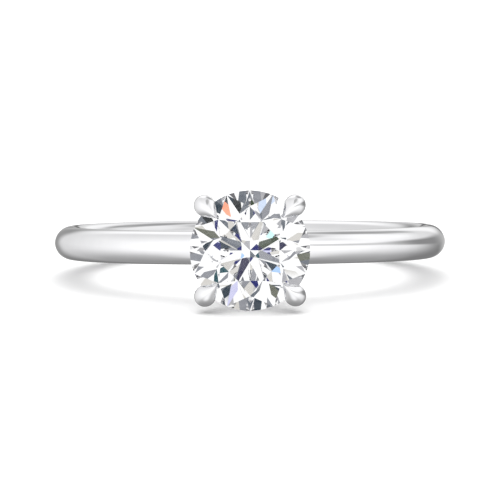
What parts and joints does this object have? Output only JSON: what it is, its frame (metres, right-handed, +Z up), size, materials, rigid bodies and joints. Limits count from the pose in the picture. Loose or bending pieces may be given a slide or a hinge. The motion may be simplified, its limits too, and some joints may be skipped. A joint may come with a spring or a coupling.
{
  "type": "engagement ring",
  "caption": "Solitaire ring: a half-round white metal band with a tulip head whose claws hold a round brilliant clear stone; lying on a table.",
  "frame": {"origin": "middle of the ring's footprint, on the table that it lies on", "axes": "+Z up from the table, -Y the way that the stone's table faces, +X to the right seen from the stone's side; the ring lies tipped back by 5.30 degrees on its stone"},
  "size_m": [0.0208, 0.025, 0.006],
  "materials": {
    "white_gold": "high polish, rhodium plated",
    "diamond": "polished facets, colourless"
  },
  "bodies": {
    "root": {"shank": "white_gold", "head_peg": "white_gold", "head_base": "white_gold", "gallery_rail": "white_gold", "claw_upper_left": "white_gold", "claw_upper_right": "white_gold", "claw_lower_left": "white_gold", "claw_lower_right": "white_gold", "diamond": "diamond"}
  },
  "joints": []
}
